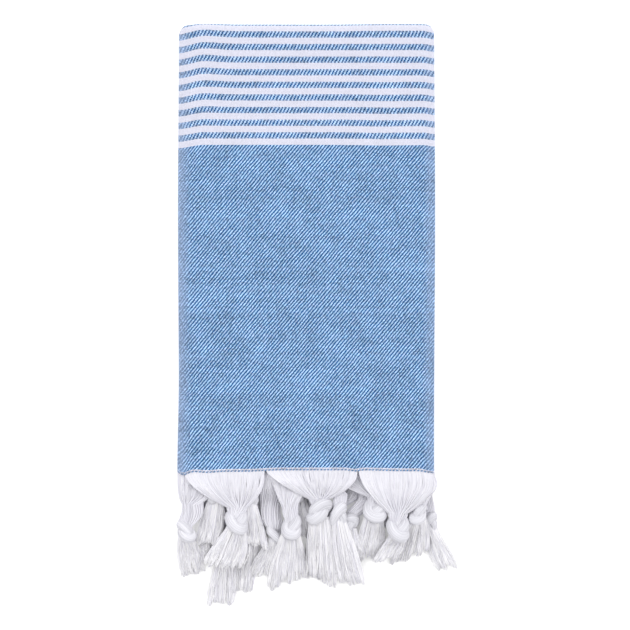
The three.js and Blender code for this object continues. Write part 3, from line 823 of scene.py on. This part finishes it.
def tail_paths(t, level):
    """Cut yarns below the knot, in pointed locks that spread and waver."""
    shows = t["shows"]
    locks = max(5, round(t["tail_width"] / LOCK_WIDTH)) if shows else 4
    each = LOCK_YARNS if shows else HIDDEN_LOCK_YARNS
    count = locks * each
    steps = 12 if shows else 8
    knot_z = (level["bottom"] + level["top"]) / 2
    start = t["knot_out"] + t["knot_length"] * 0.22
    s = np.linspace(0, 1, steps)[None, :]
    lock = np.repeat(np.arange(locks), each)
    lock_at = (np.arange(locks) + 0.5) / locks * 2 - 1 + rng.normal(0, 0.3 / locks, locks)
    lock_short = rng.uniform(0, LOCK_SHORT, locks)
    lock_drift = rng.normal(0, LOCK_DRIFT, locks)
    lock_short += t["slant"] * (lock_at + 1) / 2
    inside = rng.normal(0, 0.55, count)
    short = lock_short[lock] + rng.exponential(YARN_SHORT, count) + 0.8 * np.abs(inside)
    short -= short.min()
    full = t["tail_out"] - start
    out = start + (full - np.minimum(short, full * 0.45))[:, None] * s
    share = (out - start) / full
    x_middle = lerp(t["knot_x"], t["tail_x"], share ** 1.25)
    spread = smoothstep(share, -0.3, 0.7)
    half = lerp(t["knot_width"] * 0.27, t["tail_width"] / 2 - 0.6, spread)
    lateral = lock_at[lock][:, None] + (inside * 2 / locks)[:, None] * lerp(1.1, 0.85, share ** 2)
    curl = slow_noise(locks, steps, LOCK_CURL)[lock] * share + lock_drift[lock][:, None] * share ** 2
    stray = rng.exponential(0.35, (count, 1))
    waver = slow_noise(count, steps, TAIL_WAVER) * (0.2 + share) * (0.4 + stray)
    x = x_middle + lateral * half + curl + waver
    half_low, end_low = t["tail_low"]
    low = np.where(
        share < TAIL_BEND,
        lerp(knot_z - 2.6, half_low, smoothstep(share, 0, TAIL_BEND)),
        lerp(half_low, end_low, smoothstep(share, TAIL_BEND, 1)),
    )
    body = lerp(5.4, 4.2, share)
    bundle = np.sqrt(np.clip(1 - (lateral * 0.9) ** 2, 0.1, 1))
    lock_high = rng.uniform(0.15, 0.5, locks)
    rise = lock_high[lock][:, None] + rng.uniform(0, 0.32, (count, 1))
    z = low + TAIL_YARN + rise * body * bundle
    paths = np.stack([x, EDGE - out, z], axis=-1)
    thin = TAIL_YARN * lerp(1.05, 0.85, share)
    return paths, thin * (1.0 if shows else 1.6)


def stray_paths(paths, count, amount, steps=8):
    """Single thin hairs that leave a bundle: they follow a yarn of it and drift off."""
    chosen = paths[rng.integers(0, len(paths), count)]
    first = rng.uniform(0.05, 0.6, (count, 1))
    last = np.minimum(1, first + rng.uniform(0.3, 0.6, (count, 1)))
    at = lerp(first, last, np.linspace(0, 1, steps)[None, :]) * (chosen.shape[1] - 1)
    low = np.minimum(at.astype(int), chosen.shape[1] - 2)
    part = (at - low)[:, :, None]
    hair = np.arange(count)[:, None]
    line = lerp(chosen[hair, low], chosen[hair, low + 1], part)
    away = rng.normal(0, amount, (count, 1, 3))
    away[:, :, 2] = np.abs(away[:, :, 2]) * 0.5
    grown = np.linspace(0, 1, steps)[None, :, None] ** 1.6
    line = line + away * grown
    line[:, :, 0] += slow_noise(count, steps, 0.35) * grown[:, :, 0]
    line[:, :, 2] = np.maximum(line[:, :, 2] + 0.5, STRAY_YARN)
    return line, np.full(line.shape[:2], STRAY_YARN)


def build_tassel(t, cord):
    level = HEIGHTS[t["height"]]
    builder = Builder()
    fan = fan_paths(t, level)
    builder.add_yarns(*fan)
    knot_from = len(builder.faces)
    builder.add_rings(*knot_rings(cord, t, level))
    knot_to = len(builder.faces)
    tail = tail_paths(t, level)
    builder.add_yarns(*tail)
    if t["shows"]:
        builder.add_yarns(*stray_paths(fan[0], FAN_HAIRS, 1.2))
        builder.add_yarns(*stray_paths(tail[0], TAIL_HAIRS, 1.9))
    end = "a" if t["layer"] < LAYERS else "b"
    side = SIDES[t["third"]]
    number = t["layer"] % LAYERS + 1
    piece = builder.make(f"knotted_yarns_{end}{number}_{side}")
    index = np.zeros(len(piece.data.polygons), dtype=np.int32)
    index[knot_from:knot_to] = 1
    index[knot_to:] = 2
    piece.data.polygons.foreach_set("material_index", index)
    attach(piece, "root")
    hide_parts(f"tassel_{end}{number}_{side}")
    return piece


# The towel, with its materials

twill = cloth_material()
# One white cotton in three copies of unlike tone, as painted light and shade: the cut yarn of the tails
# is painted lighter against the shade among its thin yarns, and the knots are painted darker, as painted
# shade on their smooth tubes.
yarn = yarn_material("white yarn", (0.80, 0.79, 0.865, 1), (0.93, 0.92, 0.985, 1), 0.5, 0.15)
cut_yarn = yarn_material("cut white yarn painted lighter", (0.80, 0.79, 0.87, 1), (0.985, 0.975, 1.0, 1), 1.0, 0.03)
knotted = yarn_material("knotted white yarn painted darker", (0.68, 0.675, 0.735, 1), (0.92, 0.915, 0.97, 1), 0.5, 0.15)

sheet = build_cloth()
sheet.data.materials.append(twill)
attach(sheet, "root")
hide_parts("towel")

cord = tight_overhand()
tassels = []
for row in TASSEL_ROWS:
    t = dict(zip(TASSEL_COLUMNS, row))
    t["shows"] = t["tail_width"] > 13 or t["layer"] == 0
    tassel = build_tassel(t, cord)
    tassel.data.materials.append(yarn)
    tassel.data.materials.append(knotted)
    tassel.data.materials.append(cut_yarn)
    tassels.append(tassel)

# The floor, the light and the camera

FLOOR_HALF = 3
SKY = 0.80
SUN_ENERGY = 1.1
SUN_ANGLE = math.radians(45)
SUNS = (("upper left", (0.8, -0.75, -1.0)), ("right", (-0.95, -0.15, -1.0)))
CAMERA_PLACE = (0.0083, -0.0669, 1.5585)

floor_mesh = bpy.data.meshes.new("studio_floor")
floor_corners = [(x * FLOOR_HALF, y * FLOOR_HALF, 0) for x, y in ((-1, -1), (1, -1), (1, 1), (-1, 1))]
floor_mesh.from_pydata(floor_corners, [], [(0, 1, 2, 3)])
floor = bpy.data.objects.new("studio_floor", floor_mesh)
bpy.context.scene.collection.objects.link(floor)
floor_material, _, floor_shader = new_material("pale floor")
floor_shader.inputs["Base Color"].default_value = (0.98, 0.98, 0.98, 1)
floor_shader.inputs["Emission Color"].default_value = (1, 1, 1, 1)
floor_shader.inputs["Emission Strength"].default_value = 0.25
floor_shader.inputs["Roughness"].default_value = 0.95
floor_shader.inputs["Specular IOR Level"].default_value = 0.0
floor.data.materials.append(floor_material)

world = bpy.data.worlds.new("soft studio")
world.use_nodes = True
background = world.node_tree.nodes["Background"]
background.inputs["Color"].default_value = (1, 1, 1, 1)
background.inputs["Strength"].default_value = SKY
bpy.context.scene.world = world

for name, way in SUNS:
    sun_data = bpy.data.lights.new(name, "SUN")
    sun_data.energy = SUN_ENERGY
    sun_data.angle = SUN_ANGLE
    sun = bpy.data.objects.new(name, sun_data)
    sun.rotation_euler = Vector(way).to_track_quat("-Z", "Y").to_euler()
    bpy.context.scene.collection.objects.link(sun)

camera_data = bpy.data.cameras.new("camera")
camera_data.lens = 90
camera_data.sensor_width = 36
camera = bpy.data.objects.new("camera", camera_data)
camera.location = CAMERA_PLACE
bpy.context.scene.collection.objects.link(camera)
bpy.context.scene.camera = camera

view = bpy.context.scene.view_settings
view.view_transform = "Standard"
view.look = "None"
